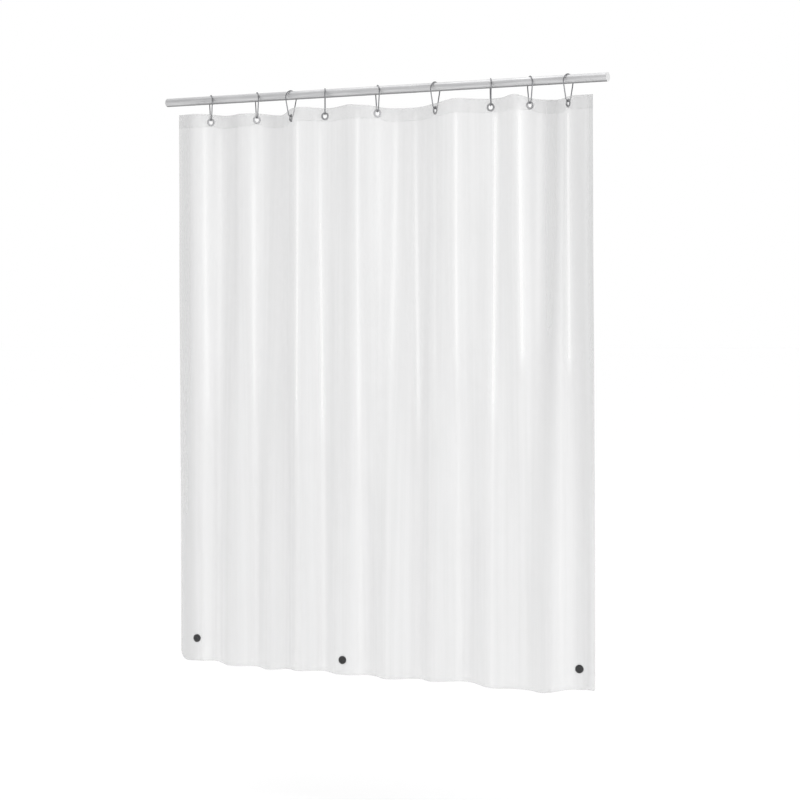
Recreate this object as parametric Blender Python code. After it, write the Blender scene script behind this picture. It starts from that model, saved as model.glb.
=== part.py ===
"""A frosted film shower curtain, hung by nine wire rings from a round steel rod.

Metres, +Z up. The rod's axis is the X axis, and the origin is the middle of the rod's left end face.
The front of the curtain faces -Y. The curtain hangs in folds that run straight down, so the film is
a height field: how far it stands in front of or behind the rod depends on x and, slowly, on height.
"""

import math

import bpy
import numpy as np
from mathutils import Matrix, Vector

# ---- driving dimensions ----
clearance = 0.0003  # between pieces that touch

rod_diameter = 0.028
rod_wall = 0.001
rod_past_curtain_left = 0.051
rod_past_curtain_right = 0.039
rod_sides = 28
plug_head = 0.003
plug_spigot = 0.022

hung_width = 1.491  # along the rod, as hung
curtain_height = 1.829
film_thickness = 0.0002
band_below_grommets = 0.003  # how far the header band reaches past the grommets
band_thickness = 0.00025
corner_radius_left = 0.032  # of the bottom corners
corner_radius_right = 0.007

wire_diameter = 0.0036
ring_looseness = 1.553  # the loop's radius over the rod's, both to the wire's centre line
ring_bottom_radius = 0.013  # of the wire's centre line
ring_height = 0.085  # between the wire's centres, top to bottom

grommet_diameter = 0.026
grommet_hole = 0.0145
grommet_below_edge = 0.029  # from the curtain's top edge to the hole's centre
grommet_barrel_wall = 0.0007
grommet_dome = 0.0016
washer_thickness = 0.0007
lip_thickness = 0.0007
lip_overlap = 0.0016
grommet_sides = 16
seat_gap = 0.0005  # between the highest ring's wire and the middle of the holes' upper edge

magnet_diameter = 0.026
magnet_front_depth = 0.0042
magnet_wall = 0.0012
magnet_dimple_diameter = 0.009
magnet_dimple_depth = 0.0008
magnet_core_thickness = 0.0026
magnet_back_depth = 0.0016
magnet_sides = 22

flat_margin = 0.002  # film that stays flat round a grommet or a magnet
column_step = 0.014  # about how far apart the film's facets are, across and down
row_step = 0.22

# Each ring: its place as a share of the hung width, the way its loop faces and the way the film
# faces at its grommet, in degrees, turned from straight ahead towards +X.
rings = [
    (0.0815, 41, 52),
    (0.2002, 41, 48),
    (0.2862, -14, -42),
    (0.3710, 27, 8),
    (0.4990, 40, 44),
    (0.6360, -10, -34),
    (0.7643, 27, 8),
    (0.8531, 40, 55),
    (0.9382, -14, -38),
]

# Fold extremes at the bottom edge, as shares of the hung width: a crest to the front, then a trough.
bottom_folds = [
    0.0530, 0.0900, 0.1442, 0.1898, 0.2381, 0.2683, 0.3139, 0.3588, 0.4205,
    0.4769, 0.5299, 0.5889, 0.6365, 0.7069, 0.7646, 0.8330, 0.9001, 0.9584,
]
bottom_fold_depth = 0.036  # from crest to trough

# Each magnet: its place as a share of the hung width, and its height above the bottom edge.
magnets = [
    (0.0530, 0.078),
    (0.4205, 0.042),
    (0.9584, 0.064),
]

# How far the curtain's side edges stand in front of the rod's axis, at the top and at the bottom
left_edge_forward = 0.006
right_edge_forward = 0.030
right_edge_slope = -0.30  # of the top edge's plan at its right end
left_hem_forward = -0.008
right_hem_forward = 0.010

# ---- worked out from them ----
rod_radius = rod_diameter / 2
rod_length = rod_past_curtain_left + hung_width + rod_past_curtain_right
wire_radius = wire_diameter / 2
ring_top_radius = ring_looseness * (rod_radius + clearance + wire_radius)
band_height = grommet_below_edge + grommet_diameter / 2 + band_below_grommets
left_edge = rod_past_curtain_left
right_edge = left_edge + hung_width

ring_top_z = rod_radius + clearance + wire_radius
ring_bottom_z = ring_top_z - ring_height


def ring_outline(steps_top=14, steps_bottom=9):
    """The wire's centre line as (across, up) points from its top: a large arc over the rod and a
    small one below, joined by straight sides that touch both."""
    lower = ring_height - ring_top_radius - ring_bottom_radius  # between the arcs' centres
    lean = math.asin((ring_top_radius - ring_bottom_radius) / lower)
    points = []
    for k in range(steps_top + 1):
        angle = -lean + (math.pi + 2 * lean) * k / steps_top
        points.append((ring_top_radius * math.cos(angle), -ring_top_radius + ring_top_radius * math.sin(angle)))
    for k in range(steps_bottom + 1):
        angle = math.pi + lean + (math.pi - 2 * lean) * k / steps_bottom
        up = -ring_top_radius - lower + ring_bottom_radius * math.sin(angle)
        points.append((ring_bottom_radius * math.cos(angle), up))
    return points


def ring_lift(turn):
    """How far a turned loop rides up, so that its wire clears the rod all round."""
    reach = rod_radius + clearance + wire_radius
    heights = []
    for across, up in ring_outline(64, 8):
        aside = across * math.cos(turn)
        if up > -ring_top_radius and abs(aside) < reach:
            heights.append(math.sqrt(reach**2 - aside**2) - up)
    return max(heights) - reach


highest_lift = max(ring_lift(math.radians(loop)) for _, loop, _ in rings)
hole_z = ring_bottom_z + highest_lift + wire_radius + seat_gap - grommet_hole / 2
top_edge_z = hole_z + grommet_below_edge
bottom_edge_z = top_edge_z - curtain_height

# Depths through a grommet or a magnet, from the middle of the film, positive to the back
film_back = film_thickness / 2
band_back = -film_back - clearance
band_front = band_back - band_thickness
flange_back = band_front - clearance
flange_front = flange_back - grommet_dome
washer_front = film_back + clearance
washer_back = washer_front + washer_thickness
lip_front = washer_back + clearance
lip_back = lip_front + lip_thickness

barrel_radius = grommet_hole / 2 + grommet_barrel_wall
film_hole_radius = barrel_radius + clearance
flat_at_grommet = grommet_diameter / 2 + flat_margin
flat_at_magnet = magnet_diameter / 2 + flat_margin

# ---- the folds ----
header_flat_z = hole_z - grommet_diameter / 2 - 0.012  # above it the folds keep their top shape
hem_flat_z = bottom_edge_z + max(m[1] for m in magnets) + flat_at_magnet + 0.010


def grommet_places():
    """x, and the direction that the film faces, for each grommet."""
    return [(left_edge + share * hung_width, math.radians(face)) for share, _, face in rings]


def curve_between(x, start, end):
    """The cubic from start to end, each an (x, y, slope)."""
    width = end[0] - start[0]
    t = (x - start[0]) / width
    return (
        start[1] * (1 + 2 * t) * (1 - t) ** 2
        + start[2] * width * t * (1 - t) ** 2
        + end[1] * (3 - 2 * t) * t**2
        - end[2] * width * t**2 * (1 - t)
    )


def top_knots():
    """The top edge's plan: the ends of a straight stretch at each grommet, and the two side edges."""
    knots = [(left_edge, -left_edge_forward, 0.0)]
    for x, face in grommet_places():
        half = flat_at_grommet * math.cos(face)
        slope = math.tan(face)
        knots.append((x - half, -half * slope, slope))
        knots.append((x + half, half * slope, slope))
    knots.append((right_edge, -right_edge_forward, right_edge_slope))
    return knots


def top_fold(x):
    """How far the film stands behind the rod's axis at the top, for an array of x."""
    knots = top_knots()
    y = np.zeros_like(x)
    for start, end in zip(knots, knots[1:]):
        inside = (x >= start[0] - 1e-9) & (x <= end[0] + 1e-9)
        y[inside] = curve_between(x[inside], start, end)
    return y


def bottom_knots():
    """The bottom edge's plan: a flat stretch at each fold's crest and trough, wide at a magnet."""
    held = [left_edge + share * hung_width for share, _ in magnets]
    knots = []
    for number, share in enumerate(bottom_folds):
        x = left_edge + share * hung_width
        y = (-0.5 if number % 2 == 0 else 0.5) * bottom_fold_depth
        half = flat_at_magnet if min(abs(x - m) for m in held) < flat_at_magnet else 0.002
        knots.append((x - half, y, 0.0))
        knots.append((x + half, y, 0.0))
    return [(left_edge, -left_hem_forward, 0.0)] + knots + [(right_edge, -right_hem_forward, 0.0)]


def bottom_fold(x):
    """The same as top_fold, at the bottom."""
    knots = bottom_knots()
    y = np.zeros_like(x)
    for start, end in zip(knots, knots[1:]):
        inside = (x >= start[0] - 1e-9) & (x <= end[0] + 1e-9)
        y[inside] = curve_between(x[inside], start, end)
    return y


def fold(x, z):
    """How far the film stands behind the rod's axis at x and z: the top plan eases into the bottom's."""
    t = np.clip((header_flat_z - z) / (header_flat_z - hem_flat_z), 0.0, 1.0)
    share = t * t * (3 - 2 * t)
    return top_fold(x) * (1 - share) + bottom_fold(x) * share


def columns():
    """The x of each column of the film's mesh: the ends of every flat stretch, with steps between."""
    ends = [knot[0] for knot in top_knots()]
    for share, _ in magnets:
        x = left_edge + share * hung_width
        ends += [x - flat_at_magnet, x + flat_at_magnet]
    ends.sort()
    xs = []
    for start, end in zip(ends, ends[1:]):
        steps = max(1, round((end - start) / column_step))
        xs.extend(np.linspace(start, end, steps, endpoint=False))
    xs.append(ends[-1])
    return np.array(xs)


# ---- making objects ----
def clear_scene():
    for item in list(bpy.data.objects):
        bpy.data.objects.remove(item, do_unlink=True)


def material(name, colour, roughness, metallic=0.0, alpha=1.0):
    made = bpy.data.materials.new(name)
    made.use_nodes = True
    shader = made.node_tree.nodes["Principled BSDF"]
    shader.inputs["Base Color"].default_value = (*colour, 1.0)
    shader.inputs["Roughness"].default_value = roughness
    shader.inputs["Metallic"].default_value = metallic
    shader.inputs["Alpha"].default_value = alpha
    return made


def add_object(name, vertices, faces, surface, smooth_angle=None, parent=None):
    mesh = bpy.data.meshes.new(name)
    mesh.from_pydata([tuple(map(float, v)) for v in vertices], [], [tuple(map(int, f)) for f in faces])
    mesh.materials.append(surface)
    mesh.update()
    if smooth_angle:
        mesh.shade_smooth()
        mesh.set_sharp_from_angle(angle=math.radians(smooth_angle))
    made = bpy.data.objects.new(name, mesh)
    bpy.context.scene.collection.objects.link(made)
    made.parent = parent
    return made


def add_empty(name, place, turn=0.0, parent=None):
    """An empty at place, turned by turn radians about +Z."""
    made = bpy.data.objects.new(name, None)
    made.location = place
    made.rotation_euler = (0.0, 0.0, turn)
    made.parent = parent
    bpy.context.scene.collection.objects.link(made)
    return made


def turned(profile, sides):
    """A closed profile of (radius, depth) points turned about +Y. They run out along the front, back
    along the outside and in along the back. A radius of 0 becomes a single point on the axis."""
    vertices = []
    loops = []
    for radius, depth in profile:
        if radius == 0:
            vertices.append((0.0, depth, 0.0))
            loops.append([len(vertices) - 1] * sides)
            continue
        start = len(vertices)
        for k in range(sides):
            angle = 2 * math.pi * k / sides
            vertices.append((radius * math.cos(angle), depth, radius * math.sin(angle)))
        loops.append(list(range(start, start + sides)))
    faces = []
    for i, loop in enumerate(loops):
        after = loops[(i + 1) % len(loops)]
        if profile[i][0] == 0 and profile[(i + 1) % len(loops)][0] == 0:
            continue
        for k in range(sides):
            n = (k + 1) % sides
            corners = [loop[k], after[k], after[n], loop[n]]
            face = list(dict.fromkeys(corners))
            if len(face) > 2:
                faces.append(face)
    return vertices, faces


def corner_lift(from_side, radius):
    """How far a rounded corner raises the bottom edge, at these distances from the side edge."""
    inside = np.clip(radius - from_side, 0.0, radius)
    return radius - np.sqrt(radius**2 - inside**2)


def film_strip(heights, front, back, rounded=(0.0, 0.0)):
    """A closed strip of film between two depths measured square to it, with a row of points at each
    of heights, from the top down. rounded is the radii of its lower corners, left and right."""
    xs = columns()
    rows = len(heights) - 1
    grid_x, grid_z = np.meshgrid(xs, heights)
    grid_z[-1] += corner_lift(xs - xs[0], rounded[0]) + corner_lift(xs[-1] - xs, rounded[1])
    middle = fold(grid_x, grid_z)
    slope = (fold(grid_x + 1e-5, grid_z) - fold(grid_x - 1e-5, grid_z)) / 2e-5
    slope[:, 0] = (fold(grid_x + 2e-5, grid_z) - middle)[:, 0] / 2e-5
    slope[:, -1] = (middle - fold(grid_x - 2e-5, grid_z))[:, -1] / 2e-5
    stretch = np.sqrt(1 + slope**2)
    sides = []
    for depth in (front, back):
        x = grid_x - depth * slope / stretch
        y = middle + depth / stretch
        sides.append(np.stack([x, y, grid_z], axis=-1).reshape(-1, 3))
    count = grid_x.size
    wide = len(xs)
    faces = []
    for r in range(rows):
        for c in range(wide - 1):
            a = r * wide + c
            for face in ((a, a + wide, a + wide + 1), (a, a + wide + 1, a + 1)):
                faces.append(face)
                faces.append(tuple(count + corner for corner in reversed(face)))  # cut the same way
    for c in range(wide - 1):
        a, b = c, rows * wide + c
        faces.append((a + 1, a + 1 + count, a + count, a))
        faces.append((b, b + count, b + 1 + count, b + 1))
    for r in range(rows):
        a, b = r * wide, r * wide + wide - 1
        faces.append((a, a + count, a + wide + count, a + wide))
        faces.append((b + wide, b + wide + count, b + count, b))
    return np.concatenate(sides), faces


def cut_grommet_holes(target):
    """One cutter for all the grommet holes, square to the film at each."""
    vertices, faces = [], []
    for x, face in grommet_places():
        profile = [(0, -0.004), (film_hole_radius, -0.004), (film_hole_radius, 0.004), (0, 0.004)]
        points, sides = turned(profile, 20)
        turn = Matrix.Translation((x, 0, hole_z)) @ Matrix.Rotation(face, 4, "Z")
        start = len(vertices)
        vertices.extend(turn @ Vector(p) for p in points)
        faces.extend([start + k for k in side] for side in sides)
    cutter = add_object(target.name + "_hole_cutter", vertices, faces, target.data.materials[0])
    cutter.hide_render = True
    cutter.display_type = "WIRE"
    cut = target.modifiers.new("grommet holes", "BOOLEAN")
    cut.object = cutter
    cut.operation = "DIFFERENCE"


# ---- the rod ----
def make_rod(steel, plastic):
    frame = add_empty("rod_axis", (0, 0, 0))
    inner = rod_radius - rod_wall
    tube = [
        (rod_radius, plug_head + clearance),
        (rod_radius, rod_length - plug_head - clearance),
        (inner, rod_length - plug_head - clearance),
        (inner, plug_head + clearance),
    ]
    lay = Matrix.Rotation(math.radians(-90), 4, "Z")  # turns +Y to +X
    vertices, faces = turned(tube, rod_sides)
    vertices = [lay @ Vector(v) for v in vertices]
    add_object("rod_tube", vertices, faces, steel, 40, frame)

    spigot = inner - clearance
    plug = [
        (0, 0),
        (rod_radius, 0),
        (rod_radius, plug_head),
        (spigot, plug_head),
        (spigot, plug_head + plug_spigot),
        (0, plug_head + plug_spigot),
    ]
    vertices, faces = turned(plug, rod_sides)
    vertices = [lay @ Vector(v) for v in vertices]
    add_object("rod_plug_left", vertices, faces, plastic, 40, frame)
    right = add_object("rod_plug_right", vertices, faces, plastic, 40, frame)
    right.location = (rod_length, 0, 0)
    right.rotation_euler = (0, 0, math.pi)


# ---- the rings ----
def make_rings(steel):
    """Each loop hangs on the rod from its wire's top. Its empty stands on the rod's axis."""
    outline = ring_outline()
    sides = 8
    for number, (share, loop, _) in enumerate(rings, 1):
        turn = math.radians(loop)
        x = left_edge + share * hung_width
        frame = add_empty(f"ring_{number}_slide", (x, 0, 0), turn)
        vertices, faces = [], []
        count = len(outline)
        for k, (across, up) in enumerate(outline):
            before, after = outline[k - 1], outline[(k + 1) % count]
            along = Vector((0, after[0] - before[0], after[1] - before[1])).normalized()
            out = Vector((0, along.z, -along.y))
            centre = Vector((0, across, ring_top_z + ring_lift(turn) + up))
            for s in range(sides):
                angle = 2 * math.pi * s / sides
                vertices.append(
                    centre + wire_radius * (math.cos(angle) * out + math.sin(angle) * Vector((1, 0, 0)))
                )
        for k in range(count):
            for s in range(sides):
                n = (s + 1) % sides
                a, b = k * sides, (k + 1) % count * sides
                faces.append((a + s, b + s, b + n, a + n))
        add_object(f"ring_{number}", vertices, faces, steel, 80, frame)


# ---- the grommets ----
def make_grommets(steel):
    """Each is a front half, whose barrel passes through the film and rolls over a back washer."""
    bore = grommet_hole / 2
    outer = grommet_diameter / 2
    middle = (bore + outer) / 2
    front = [
        (bore, flange_back),
        (bore + 0.0004, flange_front + 0.0005),
        (bore + 0.0016, flange_front),
        (middle + 0.0008, flange_front),
        (outer - 0.0010, flange_front + 0.0006),
        (outer, flange_back),
        (barrel_radius, flange_back),
        (barrel_radius, lip_front),
        (barrel_radius + lip_overlap, lip_front),
        (barrel_radius + lip_overlap, lip_back),
        (bore + 0.0012, lip_back),
        (bore, lip_front),
    ]
    washer = [
        (barrel_radius + clearance, washer_front),
        (outer, washer_front),
        (outer - 0.0008, washer_back),
        (barrel_radius + clearance, washer_back),
    ]
    for number, (x, face) in enumerate(grommet_places(), 1):
        frame = add_empty(f"grommet_{number}_hinge", (x, 0, swing_axis_z()), face)
        drop = hole_z - swing_axis_z()
        for name, profile in (("front", front), ("back", washer)):
            points, sides = turned(profile, grommet_sides)
            points = [(px, py, pz + drop) for px, py, pz in points]
            add_object(f"grommet_{name}_{number}", points, sides, steel, 50, frame)


def swing_axis_z():
    """The height of the line that the curtain swings about: the wire's centre at each ring's foot."""
    return ring_bottom_z


# ---- the magnets ----
def make_magnets(plastic, ferrite):
    """Each is a front cup with a magnet disc in it and a back disc, with the film between them."""
    outer = magnet_diameter / 2
    rim = -film_back - clearance  # the cup's rim lies on the film
    nose = rim - magnet_front_depth
    cavity = outer - magnet_wall
    dimple = magnet_dimple_diameter / 2
    cup = [
        (0, nose + magnet_dimple_depth),
        (dimple * 0.7, nose + magnet_dimple_depth),
        (dimple, nose),
        (outer - 0.0012, nose),
        (outer, nose + 0.0012),
        (outer, rim),
        (cavity, rim),
        (cavity, nose + magnet_wall + 0.0002),
        (0, nose + magnet_wall + 0.0002),
    ]
    core_front = nose + magnet_wall + 0.0002 + clearance
    core_radius = cavity - clearance
    core_back = min(core_front + magnet_core_thickness, rim)
    core = [
        (0, core_front),
        (core_radius, core_front),
        (core_radius, core_back),
        (0, core_back),
    ]
    seat = film_back + clearance
    back = [
        (0, seat),
        (outer, seat),
        (outer, seat + magnet_back_depth - 0.0006),
        (outer - 0.0006, seat + magnet_back_depth),
        (0, seat + magnet_back_depth),
    ]
    for number, (share, height) in enumerate(magnets, 1):
        x = left_edge + share * hung_width
        z = bottom_edge_z + height
        y = float(fold(np.array([x]), np.array([z]))[0])
        frame = add_empty(f"magnet_{number}_slide", (x, y, z))
        add_object(f"magnet_cup_{number}", *turned(cup, magnet_sides), plastic, 50, frame)
        add_object(f"magnet_core_{number}", *turned(core, magnet_sides), ferrite, 50, frame)
        add_object(f"magnet_back_{number}", *turned(back, magnet_sides), plastic, 50, frame)


# ---- the film ----
def make_film(film, band):
    rows = round((header_flat_z - hem_flat_z) / row_step)
    heights = [top_edge_z, *np.linspace(header_flat_z, hem_flat_z, rows + 1), bottom_edge_z]
    corners = (corner_radius_left, corner_radius_right)
    points, faces = film_strip(heights, -film_back, film_back, corners)
    sheet = add_object("sheet", points, faces, film, 60)
    heights = [top_edge_z, top_edge_z - band_height]
    points, faces = film_strip(heights, band_front, band_back)
    strip = add_object("header_band", points, faces, band, 60)
    cut_grommet_holes(sheet)
    cut_grommet_holes(strip)


clear_scene()
steel = material("polished steel", (0.60, 0.60, 0.61), 0.18, 1.0)
plug_plastic = material("plug plastic", (0.72, 0.72, 0.72), 0.45)
film = material("frosted film", (0.86, 0.87, 0.88), 0.25, 0.0, 0.5)
band = material("header film", (0.76, 0.77, 0.78), 0.30, 0.0, 0.7)
black_plastic = material("black plastic", (0.03, 0.03, 0.03), 0.40)
ferrite = material("ferrite", (0.06, 0.06, 0.06), 0.70)

make_rod(steel, plug_plastic)
make_rings(steel)
make_grommets(steel)
make_film(film, band)
make_magnets(black_plastic, ferrite)
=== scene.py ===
import math

import bmesh
import bpy
import numpy as np
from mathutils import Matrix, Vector


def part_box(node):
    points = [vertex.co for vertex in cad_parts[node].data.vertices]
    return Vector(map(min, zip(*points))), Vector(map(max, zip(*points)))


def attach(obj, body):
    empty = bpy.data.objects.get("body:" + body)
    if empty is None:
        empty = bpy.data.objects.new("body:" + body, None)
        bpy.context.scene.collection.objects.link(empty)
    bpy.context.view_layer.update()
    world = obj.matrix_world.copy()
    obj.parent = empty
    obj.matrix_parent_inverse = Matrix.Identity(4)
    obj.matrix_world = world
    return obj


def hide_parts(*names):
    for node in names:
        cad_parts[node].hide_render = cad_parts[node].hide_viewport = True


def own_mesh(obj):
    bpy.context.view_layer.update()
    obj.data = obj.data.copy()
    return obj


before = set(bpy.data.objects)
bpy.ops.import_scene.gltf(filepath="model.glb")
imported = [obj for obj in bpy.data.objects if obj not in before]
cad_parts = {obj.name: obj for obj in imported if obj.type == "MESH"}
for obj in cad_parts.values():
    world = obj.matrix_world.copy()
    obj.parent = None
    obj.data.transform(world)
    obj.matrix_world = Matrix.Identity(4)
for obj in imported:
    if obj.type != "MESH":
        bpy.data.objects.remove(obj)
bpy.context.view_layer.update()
print("frame loaded:", len(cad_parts), "nodes")

# Front is -Y, the rod runs along X, and every place below comes from the frame's own boxes.
filmLow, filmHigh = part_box("sheet")
rodLow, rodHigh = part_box("rod_tube")
leftEdge, rightEdge = filmLow.x, filmHigh.x
hungWidth = rightEdge - leftEdge
topEdge, bottomEdge = filmHigh.z, filmLow.z
washerLow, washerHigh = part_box("grommet_back_1")
holeZ = (washerLow.z + washerHigh.z) / 2
rodRadius = (rodHigh.z - rodLow.z) / 2
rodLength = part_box("rod_plug_right")[1].x

# ---- the curtain's plan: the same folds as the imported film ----
hanging = {
    # each ring's place as a share of the width, its loop's turn and the film's turn there, in degrees
    "rings": [(0.0815, 41, 52), (0.2002, 41, 48), (0.2862, -14, -42), (0.3710, 27, 8), (0.4990, 40, 44),
              (0.6360, -10, -34), (0.7643, 27, 8), (0.8531, 40, 55), (0.9382, -14, -38)],
    "flatAtEyelet": 0.015,
    "belowEyelet": 0.025,  # the folds keep their top plan down to this far below the holes' middle
    # how far the side edges stand in front of the rod's axis, at the top and at the hem
    "leftForward": 0.006,
    "rightForward": 0.030,
    "rightSlope": -0.30,
    "leftHemForward": -0.008,
    "rightHemForward": 0.010,
    # crest, trough, crest ... along the hem, as shares of the width
    "hemFolds": [0.0530, 0.0900, 0.1442, 0.1898, 0.2381, 0.2683, 0.3139, 0.3588, 0.4205,
                 0.4769, 0.5299, 0.5889, 0.6365, 0.7069, 0.7646, 0.8330, 0.9001, 0.9584],
    "hemDepth": 0.036,
    "flatAtFold": 0.002,
    "magnets": [(0.0530, 0.078), (0.4205, 0.042), (0.9584, 0.064)],  # share of the width, height
    "flatAtMagnet": 0.015,
    "aboveMagnet": 0.010,  # and take their hem plan from this far above the highest magnet's flat
}
eyeletX = [leftEdge + share * hungWidth for share, _, _ in hanging["rings"]]
eyeletTurn = [math.radians(face) for _, _, face in hanging["rings"]]
ringTurn = [math.radians(loop) for _, loop, _ in hanging["rings"]]
magnetPlace = [(leftEdge + share * hungWidth, bottomEdge + up) for share, up in hanging["magnets"]]
foldTopZ = holeZ - hanging["belowEyelet"]
highestMagnet = max(up for _, up in hanging["magnets"])
foldHemZ = bottomEdge + highestMagnet + hanging["flatAtMagnet"] + hanging["aboveMagnet"]


def smoothStep(t):
    # 0 below 0, 1 above 1, and 3t^2 - 2t^3 between
    t = np.clip(t, 0.0, 1.0)
    return t * t * (3 - 2 * t)


def throughKnots(x, knots):
    # cubic pieces from knot to knot, each knot an (x, y, slope)
    y = np.zeros_like(x)
    for (x0, y0, s0), (x1, y1, s1) in zip(knots, knots[1:]):
        inside = (x >= x0 - 1e-9) & (x <= x1 + 1e-9)
        wide = x1 - x0
        t = (x[inside] - x0) / wide
        y[inside] = (y0 * (1 + 2 * t) * (1 - t) ** 2 + s0 * wide * t * (1 - t) ** 2
                     + y1 * (3 - 2 * t) * t**2 - s1 * wide * t**2 * (1 - t))
    return y


def topKnots():
    # straight at each eyelet, where the film faces its own way
    knots = [(leftEdge, -hanging["leftForward"], 0.0)]
    for x, turn in zip(eyeletX, eyeletTurn):
        half = hanging["flatAtEyelet"] * math.cos(turn)
        slope = math.tan(turn)
        knots += [(x - half, -half * slope, slope), (x + half, half * slope, slope)]
    return knots + [(rightEdge, -hanging["rightForward"], hanging["rightSlope"])]


def hemKnots():
    # level at each crest and trough, and flat as wide as a magnet where one sits
    knots = []
    for number, share in enumerate(hanging["hemFolds"]):
        x = leftEdge + share * hungWidth
        y = (-0.5 if number % 2 == 0 else 0.5) * hanging["hemDepth"]
        atMagnet = min(abs(x - place[0]) for place in magnetPlace) < hanging["flatAtMagnet"]
        half = hanging["flatAtMagnet"] if atMagnet else hanging["flatAtFold"]
        knots += [(x - half, y, 0.0), (x + half, y, 0.0)]
    leftEnd, rightEnd = -hanging["leftHemForward"], -hanging["rightHemForward"]
    return [(leftEdge, leftEnd, 0.0)] + knots + [(rightEdge, rightEnd, 0.0)]


def plainFold(x, z):
    # the top plan eases into the hem's plan on the way down
    share = smoothStep((foldTopZ - z) / (foldTopZ - foldHemZ))
    inside = np.clip(x, leftEdge, rightEdge)
    return throughKnots(inside, topKnots()) * (1 - share) + throughKnots(inside, hemKnots()) * share


# ---- what the plain folds leave out: creases with a painted highlight along each, crinkles, soft waves and painted shade ----
creasing = {
    # share of the width, how bright, then, below the top edge, where it is brightest from and to and
    # where it has faded, how much of it there is above and below that, and how far it wanders sideways
    # each crease is a dent in the film with a painted highlight along it, whiter and clearer than the film
    # round it
    "creases": [
        (0.0726, 0.66, 0.50, 0.90, 1.10, 0.72, 0.46, 0.003),
        (0.0952, 0.45, 0.18, 0.80, 1.00, 0.50, 0.60, 0.000),
        (0.1954, 0.62, 0.36, 0.86, 1.05, 0.20, 0.50, -0.004),
        (0.3112, 0.80, 0.03, 0.92, 1.15, 0.90, 0.30, -0.006),
        (0.3600, 0.85, 0.50, 0.96, 1.15, 0.36, 0.50, 0.002),
        (0.4605, 0.66, 0.02, 0.95, 1.12, 0.90, 0.55, -0.005),
        (0.5010, 0.26, 0.10, 0.50, 0.70, 0.50, 0.60, 0.002),
        (0.5312, 0.46, 0.10, 0.72, 0.90, 0.40, 0.30, -0.004),
        (0.5750, 0.72, 0.42, 0.90, 1.15, 0.45, 0.16, 0.020),
        (0.6350, 0.28, 0.30, 0.90, 1.10, 0.30, 0.10, 0.006),
        (0.6920, 0.76, 0.04, 0.74, 0.92, 0.62, 0.36, -0.004),
        (0.7748, 0.84, 0.08, 0.92, 1.10, 0.60, 0.25, -0.004),
        (0.8376, 0.84, 0.02, 0.78, 0.86, 0.90, 0.14, 0.001),
        (0.8662, 0.20, 0.10, 0.70, 0.90, 0.60, 0.20, 0.000),
        (0.9180, 0.30, 0.30, 1.60, 1.90, 0.30, 0.60, 0.006),
        (0.9382, 0.92, 0.04, 0.80, 0.88, 0.80, 0.06, 0.002),
    ],
    "height": 0.0009,
    "coreHalf": 0.0056,
    "coreShare": 0.72,
    "glowHalf": 0.0135,
    "begins": (0.015, 0.05),  # how far below the top edge a crease starts, and over what height
    # how far below the top edge the shadows start to take their strength at the hem, and over what height
    "shadowTurns": (0.4, 1.2),
    "flatRound": 0.0155,  # how far round an eyelet or magnet the film stays flat
    "flatFade": 0.016,
    "waveHeight": 0.0012,
    "crinkleHeight": 0.0004,
    "crinkles": 16,
    "seed": 11,
    # painted shade, in greyer stretches of the film: share of the width, half width in metres, how much at
    # the top and at the hem
    "shadows": [(0.022, 0.036, 0.68, 0.62), (0.142, 0.030, 0.16, 0.10), (0.236, 0.030, 0.20, 0.10),
                (0.285, 0.014, 0.05, 0.00), (0.891, 0.028, 0.66, 0.20), (0.972, 0.026, 0.55, 0.25),
                (0.996, 0.012, 0.75, 0.00), (0.861, 0.014, 0.30, 0.10)],
}


def creaseAndHighlightShare(x, z, crease):
    # a narrow bell on a wide one across the crease, times its strength on the way down; it sets both the
    # crease's dent and its painted highlight
    share, bright, brightFrom, brightTo, end, before, after, drift = crease
    below = topEdge - z
    away = x - (leftEdge + share * hungWidth + drift * smoothStep(below / end))
    core = np.exp(-((away / creasing["coreHalf"]) ** 2))
    glow = np.exp(-((away / creasing["glowHalf"]) ** 2))
    bell = creasing["coreShare"] * core + (1 - creasing["coreShare"]) * glow
    start, over = creasing["begins"]
    begins = smoothStep((below - start) / over)
    grows = before + (1 - before) * smoothStep(below / brightFrom)
    fades = 1 - (1 - after) * smoothStep((below - brightTo) / (end - brightTo))
    return bright * bell * begins * grows * fades


def shadowShare(x, z):
    # painted shade: wide soft bells across the film, each easing from its strength at the top to that at the
    # hem
    total = np.zeros_like(x)
    start, over = creasing["shadowTurns"]
    down = smoothStep((topEdge - z - start) / over)
    for share, half, atTop, atHem in creasing["shadows"]:
        bell = np.exp(-(np.abs((x - leftEdge - share * hungWidth) / half) ** 3))
        total += bell * (atTop * (1 - down) + atHem * down)
    return np.minimum(total, 1.0)


def nearHardware(x, z):
    # 0 on the flat film round an eyelet or magnet, rising to 1 a little way out
    free = np.ones_like(x)
    spots = [(ex, holeZ, math.cos(turn)) for ex, turn in zip(eyeletX, eyeletTurn)]
    spots += [(mx, mz, 1.0) for mx, mz in magnetPlace]
    for sx, sz, narrow in spots:
        away = np.hypot((x - sx) / narrow, z - sz)
        free = np.minimum(free, smoothStep((away - creasing["flatRound"]) / creasing["flatFade"]))
    return free


def softWaves(x, z):
    # long slow waves, mostly running down the film
    waves = (np.sin(x * 41.0 + z * 2.3 + 0.7) * np.cos(z * 3.1 + 0.4)
             + 0.7 * np.sin(x * 73.0 - z * 3.7 + 2.1) * np.sin(z * 4.3 + 1.3)
             + 0.5 * np.sin(x * 118.0 + z * 5.9 + 4.0) * np.cos(z * 6.7 + 2.2))
    return creasing["waveHeight"] * waves * smoothStep((topEdge - z - 0.05) / 0.25)


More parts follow.
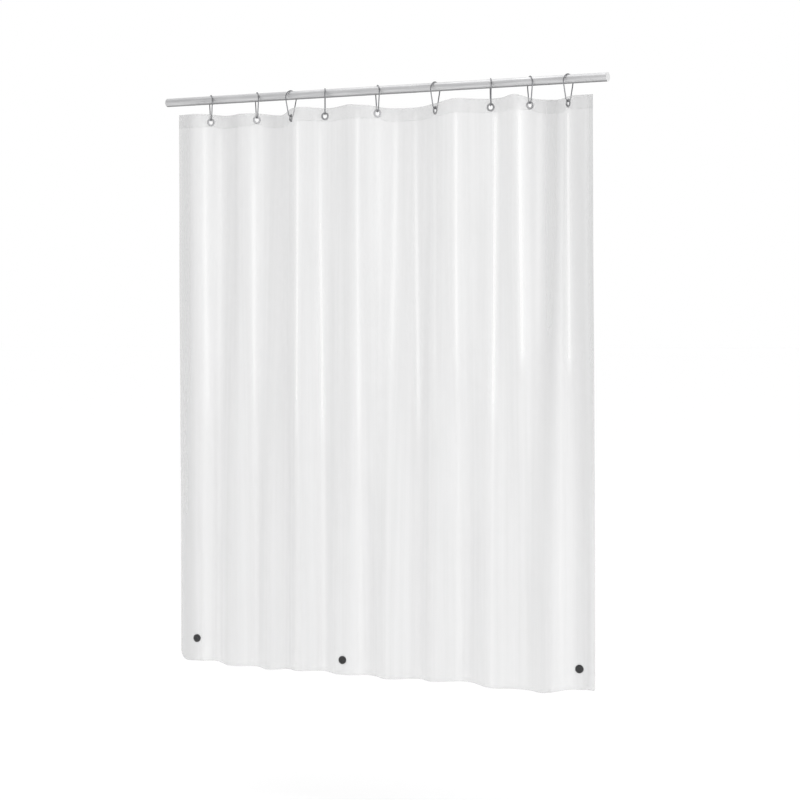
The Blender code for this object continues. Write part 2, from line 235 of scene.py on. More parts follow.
def crinkles(x, z):
    # small patches of slanting ripples, most of them near the middle of the height
    random = np.random.default_rng(creasing["seed"])
    total = np.zeros_like(x)
    for _ in range(creasing["crinkles"]):
        cx = leftEdge + hungWidth * random.uniform(0.04, 0.96)
        cz = topEdge - random.normal(0.80, 0.26)
        reachX, reachZ = random.uniform(0.012, 0.028), random.uniform(0.04, 0.10)
        slant, pitch = random.uniform(-0.5, 0.5), random.uniform(0.016, 0.034)
        phase = random.uniform(0, 6.28)
        patch = np.exp(-(((x - cx) / reachX) ** 2) - ((z - cz) / reachZ) ** 2)
        total += patch * np.sin(2 * math.pi * ((z - cz) + slant * (x - cx)) / pitch + phase)
    return creasing["crinkleHeight"] * total


def filmFold(x, z):
    detail = softWaves(x, z) + crinkles(x, z)
    for crease in creasing["creases"]:
        detail = detail - creasing["height"] * creaseAndHighlightShare(x, z, crease)
    return plainFold(x, z) + detail * nearHardware(x, z)


def filmNormal(x, z):
    # points out of the back: (-dy/dx, 1, -dy/dz), made one long
    step = 2e-4
    acrossLow = np.clip(x - step, leftEdge, rightEdge)
    acrossHigh = np.clip(x + step, leftEdge, rightEdge)
    slopeX = (filmFold(acrossHigh, z) - filmFold(acrossLow, z)) / (acrossHigh - acrossLow)
    slopeZ = (filmFold(x, z + step) - filmFold(x, z - step)) / (2 * step)
    normal = np.stack([-slopeX, np.ones_like(x), -slopeZ], axis=-1)
    return normal / np.linalg.norm(normal, axis=-1, keepdims=True)


# ---- meshes ----
def addPiece(name, points, faces, smooth=True):
    mesh = bpy.data.meshes.new(name)
    mesh.from_pydata(np.asarray(points, float).tolist(), [], [list(map(int, f)) for f in faces])
    mesh.update()
    if smooth:
        mesh.shade_smooth()
    piece = bpy.data.objects.new(name, mesh)
    bpy.context.scene.collection.objects.link(piece)
    return piece


def gridQuads(index):
    # each cell of an index grid, counterclockwise where rows run down and columns run right
    return np.stack([index[:-1, :-1], index[1:, :-1], index[1:, 1:], index[:-1, 1:]], axis=-1)


def turnedPiece(name, profile, sides, centre, turn, smoothAngle=40):
    # a closed profile of (radius, depth) carried round the depth axis, then turned about Z and placed
    profile = np.asarray(profile, float)
    angle = 2 * math.pi * np.arange(sides) / sides
    radius, depth = profile[:, :1], profile[:, 1:]
    local = np.stack([radius * np.cos(angle), depth + 0 * angle, radius * np.sin(angle)], axis=-1)
    cosTurn, sinTurn = math.cos(turn), math.sin(turn)
    place = np.stack([local[..., 0] * cosTurn - local[..., 1] * sinTurn + centre[0],
                      local[..., 0] * sinTurn + local[..., 1] * cosTurn + centre[1],
                      local[..., 2] + centre[2]], axis=-1)
    index = np.arange(len(profile) * sides).reshape(len(profile), sides)
    ahead = np.roll(index, -1, axis=0)
    around = np.roll(index, -1, axis=1)
    aheadAround = np.roll(ahead, -1, axis=1)
    faces = np.stack([index, ahead, aheadAround, around], axis=-1).reshape(-1, 4)
    piece = addPiece(name, place.reshape(-1, 3), faces)
    weldPoints(piece)
    piece.data.set_sharp_from_angle(angle=math.radians(smoothAngle))
    return piece


def weldPoints(piece):
    # points that share a place become one, and faces that lose their area go
    shape = bmesh.new()
    shape.from_mesh(piece.data)
    bmesh.ops.remove_doubles(shape, verts=shape.verts, dist=1e-7)
    bmesh.ops.dissolve_degenerate(shape, edges=shape.edges, dist=1e-7)
    bmesh.ops.recalc_face_normals(shape, faces=shape.faces)
    shape.to_mesh(piece.data)
    shape.free()
    piece.data.update()


def roundedProfile(corners, steps=5):
    # corners are (radius, depth, fillet): each fillet becomes an arc that touches both sides
    points = []
    count = len(corners)
    for k, (radius, depth, fillet) in enumerate(corners):
        here = np.array([radius, depth])
        if fillet == 0:
            points.append(here)
            continue
        before = np.array(corners[k - 1][:2]) - here
        after = np.array(corners[(k + 1) % count][:2]) - here
        before, after = before / np.linalg.norm(before), after / np.linalg.norm(after)
        half = math.acos(np.clip(before @ after, -1, 1)) / 2
        reach = fillet / math.tan(half)
        middle = here + (before + after) / np.linalg.norm(before + after) * fillet / math.sin(half)
        start, end = here + before * reach - middle, here + after * reach - middle
        for t in np.linspace(0, 1, steps):
            arm = start * (1 - t) + end * t
            points.append(middle + arm / np.linalg.norm(arm) * fillet)
    return points


# ---- materials ----
def startMaterial(name):
    made = bpy.data.materials.new(name)
    made.use_nodes = True
    tree = made.node_tree
    return made, tree, tree.nodes["Principled BSDF"]


def addNode(tree, kind, settings=None, **inputs):
    node = tree.nodes.new(kind)
    for key, value in (settings or {}).items():
        setattr(node, key, value)
    for key, value in inputs.items():
        socket = node.inputs[int(key[2:])] if key.startswith("in") and key[2:].isdigit() else node.inputs[key]
        if isinstance(value, bpy.types.NodeSocket):
            tree.links.new(value, socket)
        else:
            socket.default_value = value
    return node


def noiseOn(tree, source, scale, stretch=(1, 1, 1), detail=3.0, roughness=0.5):
    mapping = addNode(tree, "ShaderNodeMapping", Vector=source, Scale=stretch)
    return addNode(tree, "ShaderNodeTexNoise", Vector=mapping.outputs["Vector"], Scale=scale,
                   Detail=detail, Roughness=roughness).outputs["Fac"]


def remap(tree, value, low, high, newLow, newHigh):
    settings = {"clamp": True}
    return addNode(tree, "ShaderNodeMapRange", settings, in0=value, in1=low, in2=high,
                   in3=newLow, in4=newHigh).outputs[0]


def addScaled(tree, value, scale, other):
    # value * scale + other
    return addNode(tree, "ShaderNodeMath", {"operation": "MULTIPLY_ADD"}, in0=value, in1=scale,
                   in2=other).outputs[0]


def mixColours(tree, share, first, second):
    node = tree.nodes.new("ShaderNodeMix")
    node.data_type = "RGBA"
    for socket, value in ((0, share), (6, first), (7, second)):
        if isinstance(value, bpy.types.NodeSocket):
            tree.links.new(value, node.inputs[socket])
        else:
            node.inputs[socket].default_value = value if socket == 0 else (*value, 1.0)
    return node.outputs[2]


def addBump(tree, shader, height, distance, strength=1.0):
    bump = addNode(tree, "ShaderNodeBump", Strength=strength, Distance=distance, Height=height)
    tree.links.new(bump.outputs["Normal"], shader.inputs["Normal"])


filmLook = {
    "frost": (0.70, 0.70, 0.703),
    "cloud": (0.76, 0.76, 0.763),
    # painted highlight: the colour along the creases
    "drawn": (0.96, 0.96, 0.96),
    "shadow": (0.46, 0.46, 0.463),
    "roughness": (0.30, 0.40),
    "alpha": 0.36,
    # the creases' alpha, lower so more of the white behind shows, as part of the painted highlight
    "creaseAlpha": 0.24,
    "headerFrost": (0.60, 0.60, 0.603),
    "headerAlpha": 0.065,
}


def makeFilmMaterial(name, frost, cloud, alpha, creaseAlpha):
    # milky film: bands and clouds of tone, fine lines running down in the bump, greyer stretches of painted
    # shade, and creases painted whiter and made clearer as a painted highlight
    made, tree, shader = startMaterial(name)
    plan = addNode(tree, "ShaderNodeUVMap", {"uv_map": "filmPlan"}).outputs["UV"]
    crease = addNode(tree, "ShaderNodeAttribute", {"attribute_name": "creaseAndHighlightShare"}).outputs["Fac"]
    shadow = addNode(tree, "ShaderNodeAttribute", {"attribute_name": "shadowShare"}).outputs["Fac"]
    bands = noiseOn(tree, plan, 34.0, (1.0, 0.016, 1.0), 4.0, 0.6)
    clouds = noiseOn(tree, plan, 4.0, (1.6, 1.0, 1.0), 2.0, 0.4)
    drawnLines = noiseOn(tree, plan, 60.0, (3.0, 0.035, 1.0), 3.0, 0.6)
    grain = noiseOn(tree, plan, 700.0, (1, 1, 1), 2.0, 0.6)
    tone = addScaled(tree, clouds, 0.30, bands)
    colour = mixColours(tree, remap(tree, tone, 0.50, 0.80, 0.0, 1.0), frost, cloud)
    # painted shade: the film turns greyer where shadowShare is high
    colour = mixColours(tree, shadow, colour, filmLook["shadow"])
    # painted highlight: whiter along each crease
    colour = mixColours(tree, crease, colour, filmLook["drawn"])
    tree.links.new(colour, shader.inputs["Base Color"])
    lowRough, highRough = filmLook["roughness"]
    tree.links.new(remap(tree, clouds, 0.3, 0.7, highRough, lowRough), shader.inputs["Roughness"])
    # clearer along each crease, so more of the white behind shows, as part of the painted highlight
    tree.links.new(remap(tree, crease, 0.0, 1.0, alpha, creaseAlpha), shader.inputs["Alpha"])
    addBump(tree, shader, addScaled(tree, grain, 0.03, drawnLines), 0.0004, 0.06)
    shader.inputs["IOR"].default_value = 1.49
    shader.inputs["Specular IOR Level"].default_value = 0.5
    return made


def makeMetal(name, colour, dark, roughness, grain, stretch=(1, 1, 1), bump=0.0, shadedUnderside=None):
    # plated metal: a slow change of tone, fine marks that run the way stretch is short, and, given two
    # heights and a tone for the underside, painted shade that darkens the strip below
    made, tree, shader = startMaterial(name)
    place = addNode(tree, "ShaderNodeTexCoord").outputs["Object"]
    marks = noiseOn(tree, place, grain, stretch, 4.0, 0.6)
    tone = noiseOn(tree, place, 9.0, (1, 1, 1), 2.0)
    share = remap(tree, addScaled(tree, tone, 0.4, marks), 0.5, 0.95, 0.0, 1.0)
    shade = mixColours(tree, share, colour, dark)
    if shadedUnderside:
        # painted shade: darker towards the bottom of the piece, below the given heights
        height = addNode(tree, "ShaderNodeSeparateXYZ", in0=place).outputs["Z"]
        undersideShade = remap(tree, height, shadedUnderside[0], shadedUnderside[1], 1.0, 0.0)
        shade = mixColours(tree, undersideShade, shade, shadedUnderside[2])
    tree.links.new(shade, shader.inputs["Base Color"])
    tree.links.new(remap(tree, marks, 0.3, 0.7, roughness[0], roughness[1]), shader.inputs["Roughness"])
    shader.inputs["Metallic"].default_value = 1.0
    if bump:
        addBump(tree, shader, marks, bump, 0.5)
    return made


def makePlastic(name, colour, worn, roughness, grain):
    # moulded plastic: a fine spark-eroded grain, with paler rubbed spots
    made, tree, shader = startMaterial(name)
    place = addNode(tree, "ShaderNodeTexCoord").outputs["Object"]
    texture = noiseOn(tree, place, grain, (1, 1, 1), 3.0, 0.6)
    rubbed = noiseOn(tree, place, 160.0, (1, 1, 1), 4.0, 0.6)
    tree.links.new(mixColours(tree, remap(tree, rubbed, 0.52, 0.75, 0.0, 1.0), colour, worn),
                   shader.inputs["Base Color"])
    tree.links.new(remap(tree, rubbed, 0.3, 0.7, roughness[1], roughness[0]), shader.inputs["Roughness"])
    addBump(tree, shader, texture, 0.0003, 0.4)
    return made


frostedFilm = makeFilmMaterial("frosted film", filmLook["frost"], filmLook["cloud"], filmLook["alpha"],
                               filmLook["creaseAlpha"])
headerFilm = makeFilmMaterial("header film", filmLook["headerFrost"], filmLook["frost"],
                              filmLook["headerAlpha"], filmLook["headerAlpha"])
# the rod's darker strip along its underside is painted shade
rodSteel = makeMetal("brushed rod steel", (0.70, 0.70, 0.705), (0.52, 0.52, 0.53), (0.48, 0.62), 260.0,
                     (0.03, 1.0, 1.0), 0.0002, (-0.0138, -0.0092, (0.20, 0.20, 0.205)))
ringSteel = makeMetal("plated ring wire", (0.30, 0.30, 0.31), (0.16, 0.16, 0.17), (0.12, 0.24), 420.0)
eyeletSteel = makeMetal("pressed eyelet steel", (0.44, 0.44, 0.45), (0.29, 0.29, 0.30), (0.34, 0.48), 380.0)
blackPlastic = makePlastic("black plastic", (0.022, 0.022, 0.023), (0.05, 0.05, 0.05), (0.34, 0.52), 1400.0)
ferrite = makePlastic("ferrite", (0.05, 0.05, 0.052), (0.09, 0.09, 0.09), (0.6, 0.8), 2200.0)
plugPlastic = makePlastic("plug plastic", (0.70, 0.70, 0.70), (0.76, 0.76, 0.76), (0.38, 0.52), 1200.0)
print("materials made")


# ---- the film and its header ----
filmShape = {
    "thickness": 0.0002,
    "holeRadius": 0.00825,
    "patchHalf": 0.0125,  # the square of cells round a hole
    "patchCells": 8,
    "rowsAboveHoles": 4,
    "rowStep": 0.0170,
    # column spacing in plain film, at a crease and at a side edge, with how far the fine spacing reaches
    "columnStep": 0.0076,
    "creaseStep": 0.0024,
    "creaseReach": 0.009,
    "sideStep": 0.003,
    "sideReach": 0.012,
    "ringsRoundHole": 3,
    "cornerLeft": 0.032,
    "cornerRight": 0.007,
    "cornerReach": 0.095,  # the height over which a rounded corner squeezes the rows
    # how far the top edge hangs below its level line, as (share of the width, drop)
    "topDips": [(0.0, 0.0), (0.07, 0.002), (0.115, 0.006), (0.155, 0.008), (0.20, 0.008),
                (0.248, 0.013), (0.285, -0.002), (0.32, -0.003), (0.375, 0.003), (0.435, -0.003),
                (0.475, 0.002), (0.52, 0.011), (0.58, 0.011), (0.636, 0.007), (0.69, -0.003),
                (0.76, 0.002), (0.785, 0.001), (0.825, -0.005), (0.865, 0.009), (0.91, 0.012),
                (0.945, 0.008), (1.0, 0.009)],
    "topReach": 0.16,
    # how far the hem hangs below its level line, as (share of the width, drop)
    "hemDrops": [(0.0, 0.0), (0.06, -0.003), (0.13, 0.006), (0.25, 0.009), (0.33, 0.005),
                 (0.43, 0.006), (0.52, 0.009), (0.61, 0.006), (0.70, 0.003), (0.79, 0.012),
                 (0.87, 0.015), (0.95, 0.001), (1.0, -0.004)],
    "hemReach": 0.12,
}
headerShape = {
    "height": 0.045,
    "thickness": 0.00025,
    "gap": 0.0003,
    "weldHeight": 0.0002,
    # each weld bead's middle, in from the header's edge, and its half width
    "lowerBead": (0.0014, 0.0007),
    "upperBead": (0.002, 0.0008),
    "upperRows": [0.001, 0.002, 0.003],  # extra rows below the top edge, and above the lower edge
    "lowerRows": [0.0022, 0.0014, 0.0007],
}


def columnsAcross():
    # spacing is fine at each crease and at the side edges, coarse between, and even across a hole's patch
    half = filmShape["patchHalf"]
    patches = [(x - half * math.cos(turn), x + half * math.cos(turn))
               for x, turn in zip(eyeletX, eyeletTurn)]
    fine = np.linspace(leftEdge, rightEdge, 6000)
    density = np.full_like(fine, 1 / filmShape["columnStep"])
    for crease in creasing["creases"]:
        centre = leftEdge + crease[0] * hungWidth + crease[-1] / 2
        reach = filmShape["creaseReach"] + abs(crease[-1])
        density += 1 / filmShape["creaseStep"] * np.exp(-(((fine - centre) / reach) ** 2))
    fromSide = np.minimum(fine - leftEdge, rightEdge - fine)
    density += 1 / filmShape["sideStep"] * np.exp(-((fromSide / filmShape["sideReach"]) ** 2))
    along = np.concatenate([[0], np.cumsum((density[1:] + density[:-1]) / 2 * np.diff(fine))])
    columns, patchStarts = [], []
    position = leftEdge
    for low, high in patches + [(rightEdge, None)]:
        start, end = np.interp([position, low], fine, along)
        steps = max(2, math.ceil(end - start))
        columns.extend(np.interp(np.linspace(start, end, steps, endpoint=False), along, fine))
        if high is None:
            columns.append(rightEdge)
            break
        patchStarts.append(len(columns))
        columns.extend(np.linspace(low, high, filmShape["patchCells"], endpoint=False))
        position = high
    return np.array(columns), patchStarts


def rowsDown(lowest):
    # from the top edge: even through the holes' patch, then about rowStep apart
    half, cells = filmShape["patchHalf"], filmShape["patchCells"]
    rows = list(np.linspace(topEdge, holeZ + half, filmShape["rowsAboveHoles"], endpoint=False))
    patchRow = len(rows)
    rows += list(np.linspace(holeZ + half, holeZ - half, cells, endpoint=False))
    steps = max(2, round((holeZ - half - lowest) / filmShape["rowStep"]))
    rows += list(np.linspace(holeZ - half, lowest, steps + 1))
    return np.array(rows), patchRow


def sheetWithHoles(rows, patchRow):
    # a grid of x and z with each hole's patch of cells swapped for rings that close in on the circle
    columns, patchStarts = columnsAcross()
    cells, radius = filmShape["patchCells"], filmShape["holeRadius"]
    gridX, gridZ = np.meshgrid(columns, rows)
    index = np.arange(gridX.size).reshape(gridX.shape)
    cellFaces = gridQuads(index)
    keep = np.ones(cellFaces.shape[:2], bool)
    allX, allZ, faces = [gridX.ravel()], [gridZ.ravel()], []
    count = gridX.size
    for start, centre, turn in zip(patchStarts, eyeletX, eyeletTurn):
        keep[patchRow:patchRow + cells, start:start + cells] = False
        patch = index[patchRow:patchRow + cells + 1, start:start + cells + 1]
        outer = np.concatenate([patch[:-1, 0], patch[-1, :-1], patch[:0:-1, -1], patch[0, :0:-1]])
        narrow = math.cos(turn)
        edgeX, edgeZ = gridX.ravel()[outer], gridZ.ravel()[outer]
        angle = np.arctan2(edgeZ - holeZ, (edgeX - centre) / narrow)
        circleX, circleZ = centre + radius * narrow * np.cos(angle), holeZ + radius * np.sin(angle)
        previous = outer
        for ring in range(1, filmShape["ringsRoundHole"] + 1):
            t = ring / filmShape["ringsRoundHole"]
            here = count + np.arange(len(outer))
            allX.append(edgeX * (1 - t) + circleX * t)
            allZ.append(edgeZ * (1 - t) + circleZ * t)
            faces.append(np.stack([previous, np.roll(previous, -1), np.roll(here, -1), here], axis=-1))
            previous = here
            count += len(outer)
    faces = np.concatenate([cellFaces[keep].reshape(-1, 4)] + faces)
    used, compact = np.unique(faces, return_inverse=True)
    return np.concatenate(allX)[used], np.concatenate(allZ)[used], compact.reshape(faces.shape)


def cornerLift(x, z):
    # a rounded corner lifts the hem by r - sqrt(r^2 - d^2), less and less up the film
    lift = np.zeros_like(x)
    for away, radius in ((x - leftEdge, filmShape["cornerLeft"]), (rightEdge - x, filmShape["cornerRight"])):
        inside = np.clip(radius - away, 0.0, radius)
        lift += radius - np.sqrt(radius**2 - inside**2)
    return lift * np.clip(1 - (z - bottomEdge) / filmShape["cornerReach"], 0.0, 1.0)


def topDip(x, z):
    # a cubic through topDips, level at each, that fades out topReach below the edge and by the hardware
    knots = [(leftEdge + share * hungWidth, drop, 0.0) for share, drop in filmShape["topDips"]]
    fade = smoothStep(1 - (topEdge - z) / filmShape["topReach"])
    return throughKnots(x, knots) * fade * nearHardware(x, z)


def hemDrop(x, z):
    # a cubic through hemDrops, level at each, that fades out hemReach above the hem
    knots = [(leftEdge + share * hungWidth, drop, 0.0) for share, drop in filmShape["hemDrops"]]
    return throughKnots(x, knots) * np.clip(1 - (z - bottomEdge) / filmShape["hemReach"], 0.0, 1.0)


def finishSheet(name, x, z, faces, offset, thickness, surface):
    # points stand off the fold surface by offset, and a solidify gives the film its thickness
    z = z - topDip(x, z)
    points = np.stack([x, filmFold(x, z), z], axis=-1) + offset[:, None] * filmNormal(x, z)
    piece = addPiece(name, points, faces)
    mesh = piece.data
    corners = np.zeros(len(mesh.loops), np.int32)
    mesh.loops.foreach_get("vertex_index", corners)
    plan = mesh.uv_layers.new(name="filmPlan")
    flat = np.stack([x - leftEdge, z - bottomEdge], axis=-1)
    plan.data.foreach_set("uv", flat[corners].astype(np.float32).ravel())
    # the painted highlight along the creases and the painted shade in the greyer stretches, kept as point
    # attributes for the material
    share = np.zeros_like(x)
    for crease in creasing["creases"]:
        share = np.maximum(share, creaseAndHighlightShare(x, z, crease))
    mark = mesh.attributes.new("creaseAndHighlightShare", "FLOAT", "POINT")
    mark.data.foreach_set("value", (share * nearHardware(x, z)).astype(np.float32))
    mark = mesh.attributes.new("shadowShare", "FLOAT", "POINT")
    mark.data.foreach_set("value", shadowShare(x, z).astype(np.float32))
    mesh.materials.append(surface)
    wall = piece.modifiers.new("film thickness", "SOLIDIFY")
    wall.thickness = thickness
    wall.offset = 0.0
    return piece


def makeFilm():
    rows, patchRow = rowsDown(bottomEdge)
    x, z, faces = sheetWithHoles(rows, patchRow)
    z = z + cornerLift(x, z) - hemDrop(x, z)
    film = finishSheet("curtain_film", x, z, faces, np.zeros_like(x), filmShape["thickness"], frostedFilm)
    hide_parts("sheet")
    return film


def makeHeader():
    # a second layer on the front, with a weld bead along its lower edge and its top edge
    lowest = topEdge - headerShape["height"]
    rows, patchRow = rowsDown(lowest)
    upper = [topEdge - down for down in headerShape["upperRows"]]
    lower = [lowest + up for up in headerShape["lowerRows"]]
    rows = np.concatenate([[topEdge], upper, rows[1:-1], lower, [lowest]])
    patchRow += len(upper)
    x, z, faces = sheetWithHoles(rows, patchRow)
    (lowerIn, lowerHalf), (upperIn, upperHalf) = headerShape["lowerBead"], headerShape["upperBead"]
    bead = np.exp(-(((z - lowest - lowerIn) / lowerHalf) ** 2))
    bead += np.exp(-(((z - topEdge + upperIn) / upperHalf) ** 2))
    bead *= nearHardware(x, z)
    offset = -(filmShape["thickness"] / 2 + headerShape["gap"] + headerShape["thickness"] / 2)
    offset = offset - headerShape["weldHeight"] * bead
    header = finishSheet("header_film", x, z, faces, offset, headerShape["thickness"], headerFilm)
    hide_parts("header_band")
    return header


film = makeFilm()
header = makeHeader()
print("film:", len(film.data.polygons), "faces; header:", len(header.data.polygons), "faces")


# ---- rings ----
ringShape = {
    "wire": 0.0018,
    "topRadius": 0.025,
    "bottomRadius": 0.013,
    "height": 0.085,
    "sides": 14,
}


def ringLine(stepsTop=56, stepsSide=12, stepsBottom=32):
    # a large arc and a small arc, with straight sides that touch both; (across, up) from the top
    top, bottom = ringShape["topRadius"], ringShape["bottomRadius"]
    lower = ringShape["height"] - top - bottom
    lean = math.asin((top - bottom) / lower)
    over = -lean + (math.pi + 2 * lean) * np.linspace(0, 1, stepsTop)
    under = math.pi + lean + (math.pi - 2 * lean) * np.linspace(0, 1, stepsBottom)
    arcTop = np.stack([top * np.cos(over), -top + top * np.sin(over)], axis=-1)
    arcBottom = np.stack([bottom * np.cos(under), -top - lower + bottom * np.sin(under)], axis=-1)
    t = np.linspace(0, 1, stepsSide + 1)[1:-1, None]
    leftSide = arcTop[-1] * (1 - t) + arcBottom[0] * t
    rightSide = arcBottom[-1] * (1 - t) + arcTop[0] * t
    return np.concatenate([arcTop, leftSide, arcBottom, rightSide])


def makeRing(number):
    # a round wire swept along the ring's line, in a plane turned about Z
    low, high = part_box(f"ring_{number}")
    turn = ringTurn[number - 1]
    line = ringLine()
    tangent = np.roll(line, -1, axis=0) - np.roll(line, 1, axis=0)
    tangent /= np.linalg.norm(tangent, axis=1, keepdims=True)
    outward = np.stack([tangent[:, 1], -tangent[:, 0]], axis=-1)
    angle = 2 * math.pi * np.arange(ringShape["sides"]) / ringShape["sides"]
    wire = ringShape["wire"]
    across = line[:, :1] + wire * np.cos(angle) * outward[:, :1]
    up = line[:, 1:] + wire * np.cos(angle) * outward[:, 1:] + high.z - wire
    aside = 0 * line[:, :1] + wire * np.sin(angle)
    x = (low.x + high.x) / 2 + aside * math.cos(turn) - across * math.sin(turn)
    y = aside * math.sin(turn) + across * math.cos(turn)
    points = np.stack([x, y, up], axis=-1).reshape(-1, 3)
    index = np.arange(len(points)).reshape(len(line), -1)
    around, ahead = np.roll(index, -1, axis=1), np.roll(index, -1, axis=0)
    faces = np.stack([index, ahead, np.roll(ahead, -1, axis=1), around], axis=-1).reshape(-1, 4)
    ring = addPiece(f"ring_wire_{number}", points, faces)
    ring.data.materials.append(ringSteel)
    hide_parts(f"ring_{number}")
    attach(ring, f"ring_{number}")
    return ring


rings = [makeRing(number) for number in range(1, 10)]
print("rings:", len(rings))


# ---- eyelets ----
eyeletShape = {
    "bore": 0.00725,
    "outer": 0.013,
    "barrel": 0.00795,
    "dome": 0.0016,
    "washer": 0.0007,
    "lip": 0.0016,
    "lipThickness": 0.0007,
    "clearance": 0.0003,  # between the halves, the film and the header
    "sides": 56,
}


def makeEyelet(number):
    # the front half is a domed flange whose barrel rolls over the back washer
    body = "curtain" if number == 1 else f"grommet_{number}"
    centre, turn = (eyeletX[number - 1], 0.0, holeZ), eyeletTurn[number - 1]
    bore, outer, barrel = eyeletShape["bore"], eyeletShape["outer"], eyeletShape["barrel"]
    clearance = eyeletShape["clearance"]
    flangeBack = -(filmShape["thickness"] / 2 + headerShape["gap"] + headerShape["thickness"] + clearance)
    flangeFront = flangeBack - eyeletShape["dome"]
    washerFront = filmShape["thickness"] / 2 + clearance
    washerBack = washerFront + eyeletShape["washer"]
    lipFront = washerBack + clearance
    lipBack = lipFront + eyeletShape["lipThickness"]
    lip = barrel + eyeletShape["lip"]
    front = roundedProfile([
        (bore, lipFront, 0), (bore, flangeFront, 0.0012),
        (outer - 0.0016, flangeFront + 0.0002, 0.0010), (outer, flangeBack, 0.0003),
        (barrel, flangeBack, 0), (barrel, lipFront, 0), (lip, lipFront, 0.00015),
        (lip, lipBack, 0.0003), (bore, lipBack, 0.0005)], 6)
    back = roundedProfile([
        (barrel + clearance, washerFront, 0), (outer, washerFront, 0.0002),
        (outer - 0.0002, washerBack, 0.0003), (outer - 0.0014, washerBack, 0.0002),
        (barrel + clearance, washerBack, 0)], 4)
    made = []
    for half, profile in (("front", front), ("back", back)):
        piece = turnedPiece(f"eyelet_{half}_{number}", profile, eyeletShape["sides"], centre, turn)
        piece.data.materials.append(eyeletSteel)
        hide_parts(f"grommet_{half}_{number}")
        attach(piece, body)
        made.append(piece)
    return made


eyelets = [piece for number in range(1, 10) for piece in makeEyelet(number)]
print("eyelet pieces:", len(eyelets))


# ---- magnets ----
axisRadius = 0.00001  # solid turned pieces stop this short of their axis
magnetShape = {
    "radius": 0.013,
    "front": 0.0042,
    "back": 0.0016,
    "wall": 0.0012,
    "cavityGap": 0.0002,
    "dimple": 0.0045,
    "dimpleDepth": 0.0008,
    "seat": 0.0004,
    "sides": 56,
}


def makeMagnet(number):
    # a cup on the front of the film and a disc behind it
    cupLow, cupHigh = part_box(f"magnet_cup_{number}")
    centreX, centreZ = (cupLow.x + cupHigh.x) / 2, (cupLow.z + cupHigh.z) / 2
    filmY = cupHigh.y + magnetShape["seat"]
    radius, seat = magnetShape["radius"], magnetShape["seat"]
    nose = -seat - magnetShape["front"]
    cavity = radius - magnetShape["wall"]
    floorDepth = nose + magnetShape["wall"] + magnetShape["cavityGap"]
    dimple, dimpleFloor = magnetShape["dimple"], nose + magnetShape["dimpleDepth"]
    cup = roundedProfile([
        (axisRadius, dimpleFloor, 0), (dimple - 0.0010, dimpleFloor, 0.0005), (dimple, nose, 0.0004),
        (radius - 0.0030, nose, 0.0004), (radius - 0.0024, nose + 0.0003, 0.0003),
        (radius, nose + 0.0004, 0.0010), (radius, -seat, 0.0002), (cavity, -seat, 0),
        (cavity, floorDepth, 0), (axisRadius, floorDepth, 0)], 5)
    disc = roundedProfile([
        (axisRadius, seat, 0), (radius, seat, 0.0002), (radius, seat + magnetShape["back"], 0.0007),
        (axisRadius, seat + magnetShape["back"], 0)], 6)
    made = []
    for name, node, profile in (("magnet_front", "magnet_cup", cup), ("magnet_rear", "magnet_back", disc)):
        centre = (centreX, filmY, centreZ)
        piece = turnedPiece(f"{name}_{number}", profile, magnetShape["sides"], centre, 0.0)
        piece.data.materials.append(blackPlastic)
        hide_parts(f"{node}_{number}")
        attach(piece, f"magnet_{number}")
        made.append(piece)
    return made


magnetPieces = [piece for number in range(1, 4) for piece in makeMagnet(number)]
for number in range(1, 4):
    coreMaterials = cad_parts[f"magnet_core_{number}"].data.materials
    coreMaterials.clear()
    coreMaterials.append(ferrite)
print("magnet pieces:", len(magnetPieces))


# ---- rod ----
rodShape = {"wall": 0.001, "plugHead": 0.003, "spigot": 0.022, "gap": 0.0003, "sides": 72}


def makeRod():
    # the profiles run along +Y and are laid along +X by a quarter turn
    inner = rodRadius - rodShape["wall"]
    start, end = rodLow.x, rodHigh.x
    tube = roundedProfile([
        (rodRadius, start, 0.0004), (rodRadius, end, 0.0004), (inner, end, 0.0002),
        (inner, start, 0.0002)], 4)
    spigot = inner - rodShape["gap"]
    head, depth = rodShape["plugHead"], rodShape["plugHead"] + rodShape["spigot"]
    plug = roundedProfile([
        (axisRadius, 0.0, 0), (rodRadius, 0.0, 0.0011), (rodRadius, head, 0.0002), (spigot, head, 0),
        (spigot, depth, 0.0005), (axisRadius, depth, 0)], 6)
    lay = math.radians(-90)
    made = [turnedPiece("rod_shell", tube, rodShape["sides"], (0, 0, 0), lay),
            turnedPiece("rod_cap_left", plug, rodShape["sides"], (0, 0, 0), lay),
            turnedPiece("rod_cap_right", plug, rodShape["sides"], (rodLength, 0, 0), -lay)]
    nodes = ("rod_tube", "rod_plug_left", "rod_plug_right")
    surfaces = (rodSteel, plugPlastic, plugPlastic)
    slots = ("rod_steel", "plug_plastic", "plug_plastic")
    for piece, node, surface, slotName in zip(made, nodes, surfaces, slots):
        piece.data.materials.append(surface)
        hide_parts(node)
        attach(piece, "rod")


makeRod()
print("rod made")

# ---- the film and its header move with the curtain, each on its own mesh ----
for piece in (film, header):
    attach(piece, "curtain")
    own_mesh(piece)

# ---- floor, lights and camera ----
studio = {
    "floorBelow": 0.46,  # under the hem
    "floorColour": (0.93, 0.93, 0.93),
    "floorReach": 400.0,
    "roomLight": 0.68,
    "sun": 1.31,
    "sunSpread": 60,  # degrees
    "azimuth": 26.1,
    "distance": 6.592,
    "aside": 0.0848,  # right of the rod's middle
    "aboveHem": 1.0735,
    "lens": 93.0,
    "sensor": 36.0,
    "shiftUp": -0.075,
    # place, size across and up, power
    "lights": {
        "key": ((4.6, -2.2, 0.0), (2.4, 3.0), 42.0),
        "strip right": ((2.7, -4.4, 1.25), (0.14, 2.6), 3.5),
        "strip left": ((-1.9, -3.8, 1.2), (0.20, 2.6), 3.5),
    },
}


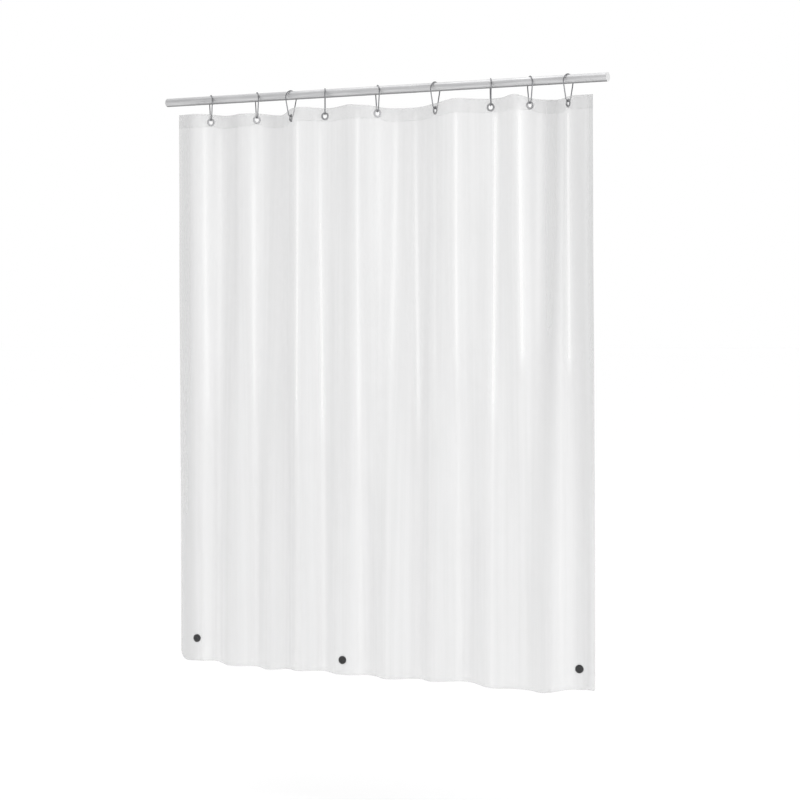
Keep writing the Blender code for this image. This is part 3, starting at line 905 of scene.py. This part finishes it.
def makeStudio():
    middle = (rodLow.x + rodHigh.x) / 2
    floorZ = bottomEdge - studio["floorBelow"]
    reach = studio["floorReach"]
    signs = ((-1, -1), (1, -1), (1, 1), (-1, 1))
    corners = [(reach * acrossSign, reach * awaySign, floorZ) for acrossSign, awaySign in signs]
    floor = addPiece("floor", corners, [(0, 1, 2, 3)], smooth=False)
    surface, tree, shader = startMaterial("pale floor")
    shader.inputs["Base Color"].default_value = (*studio["floorColour"], 1.0)
    shader.inputs["Roughness"].default_value = 0.9
    floor.data.materials.append(surface)

    world = bpy.data.worlds.new("pale room")
    bpy.context.scene.world = world
    world.use_nodes = True
    nodes, links = world.node_tree.nodes, world.node_tree.links
    nodes["Background"].inputs["Color"].default_value = (1, 1, 1, 1)  # what the camera sees
    light = nodes.new("ShaderNodeBackground")
    light.inputs["Color"].default_value = (1, 1, 1, 1)
    light.inputs["Strength"].default_value = studio["roomLight"]
    path = nodes.new("ShaderNodeLightPath")
    choose = nodes.new("ShaderNodeMixShader")
    links.new(path.outputs["Is Camera Ray"], choose.inputs[0])
    links.new(light.outputs[0], choose.inputs[1])
    links.new(nodes["Background"].outputs[0], choose.inputs[2])
    links.new(choose.outputs[0], nodes["World Output"].inputs["Surface"])

    overhead = bpy.data.lights.new("overhead", "SUN")
    overhead.energy = studio["sun"]
    overhead.angle = math.radians(studio["sunSpread"])
    lamp = bpy.data.objects.new("overhead", overhead)
    bpy.context.scene.collection.objects.link(lamp)

    aim = Vector((middle, 0.0, (topEdge + bottomEdge) / 2))
    for name, (place, (wide, tall), power) in studio["lights"].items():
        data = bpy.data.lights.new(name, "AREA")
        data.shape = "RECTANGLE"
        data.size, data.size_y = wide, tall
        data.energy = power
        lamp = bpy.data.objects.new(name, data)
        bpy.context.scene.collection.objects.link(lamp)
        lamp.location = place
        toward = aim - lamp.location
        toward.z = 0  # every softbox stands upright
        lamp.rotation_euler = toward.to_track_quat("-Z", "Y").to_euler()

    azimuth = math.radians(studio["azimuth"])
    data = bpy.data.cameras.new("camera")
    data.lens = studio["lens"]
    data.sensor_width = studio["sensor"]
    data.shift_y = studio["shiftUp"]
    camera = bpy.data.objects.new("camera", data)
    bpy.context.scene.collection.objects.link(camera)
    camera.location = (middle + studio["aside"] + studio["distance"] * math.sin(azimuth),
                       -studio["distance"] * math.cos(azimuth), bottomEdge + studio["aboveHem"])
    camera.rotation_euler = (math.radians(90), 0, azimuth)
    bpy.context.scene.camera = camera
    bpy.context.scene.view_settings.view_transform = "Standard"
    bpy.context.scene.cycles.transparent_max_bounces = 48


makeStudio()
print("studio made")
